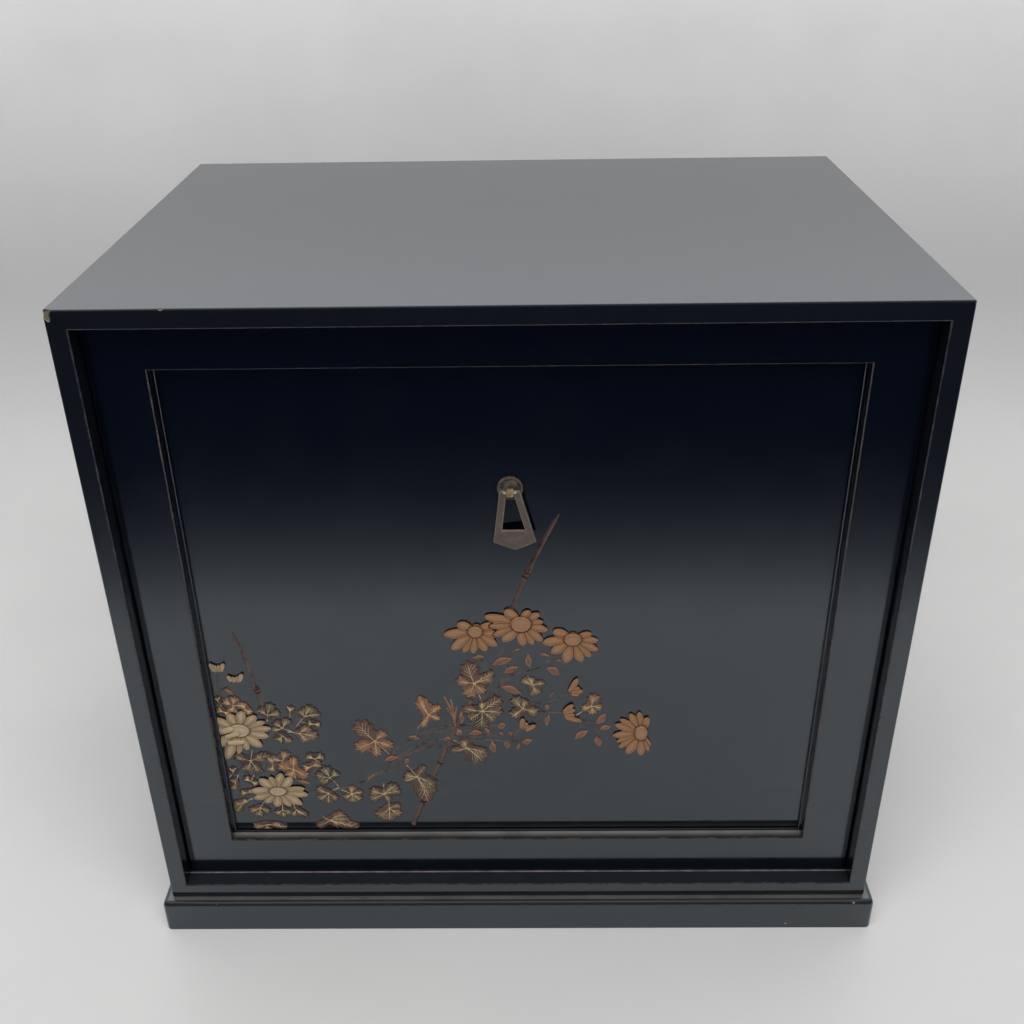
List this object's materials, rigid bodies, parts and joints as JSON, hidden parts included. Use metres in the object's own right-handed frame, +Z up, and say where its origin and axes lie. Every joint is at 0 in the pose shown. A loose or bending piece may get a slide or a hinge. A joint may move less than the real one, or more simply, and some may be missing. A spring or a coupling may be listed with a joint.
{
  "type": "lacquer tea cabinet",
  "caption": "Black-lacquered tea cabinet on a low plinth: hollow box with a framed lift-out front door, a low-relief chrysanthemum spray and a hanging drop pull.",
  "frame": {"origin": "middle of the underside, on the surface the plinth stands on", "axes": "+Z up, the door faces -Y, +X to the right of someone facing the door"},
  "size_m": [0.39, 0.274, 0.3585],
  "materials": {
    "lacquer": "polished black lacquer on wood",
    "tan_inlay": "satin carved tan inlay",
    "cream_inlay": "satin carved cream inlay",
    "bronze": "dark patinated bronze",
    "brass": "rubbed brass"
  },
  "bodies": {
    "cabinet": {"top_board": "lacquer", "bottom_board": "lacquer", "side_left": "lacquer", "side_right": "lacquer", "back_board": "lacquer", "plinth_front": "lacquer", "plinth_back": "lacquer", "plinth_left": "lacquer", "plinth_right": "lacquer", "door_stile_left": "lacquer", "door_stile_right": "lacquer", "door_rail_top": "lacquer", "door_rail_bottom": "lacquer", "door_panel": "lacquer", "bloom_upper_left": "tan_inlay", "bloom_upper_middle": "tan_inlay", "bloom_upper_right": "tan_inlay", "bloom_right": "tan_inlay", "bloom_left_high": "cream_inlay", "bloom_left_low": "cream_inlay", "bud_left_high": "cream_inlay", "bud_left_low": "cream_inlay", "bud_right_high": "tan_inlay", "bud_right_middle": "tan_inlay", "bud_right_low": "tan_inlay", "pull_plate": "bronze", "pull_eye": "brass"},
    "pull": {"pull_drop": "bronze"}
  },
  "joints": [
    {"name": "pull_swing", "type": "hinge", "parent": "cabinet", "child": "pull", "pos_m": [-0.0002, -0.1199, 0.2653], "axis": [-0.9896, 0.1215, -0.0767], "range_deg": [-3, 175]}
  ]
}
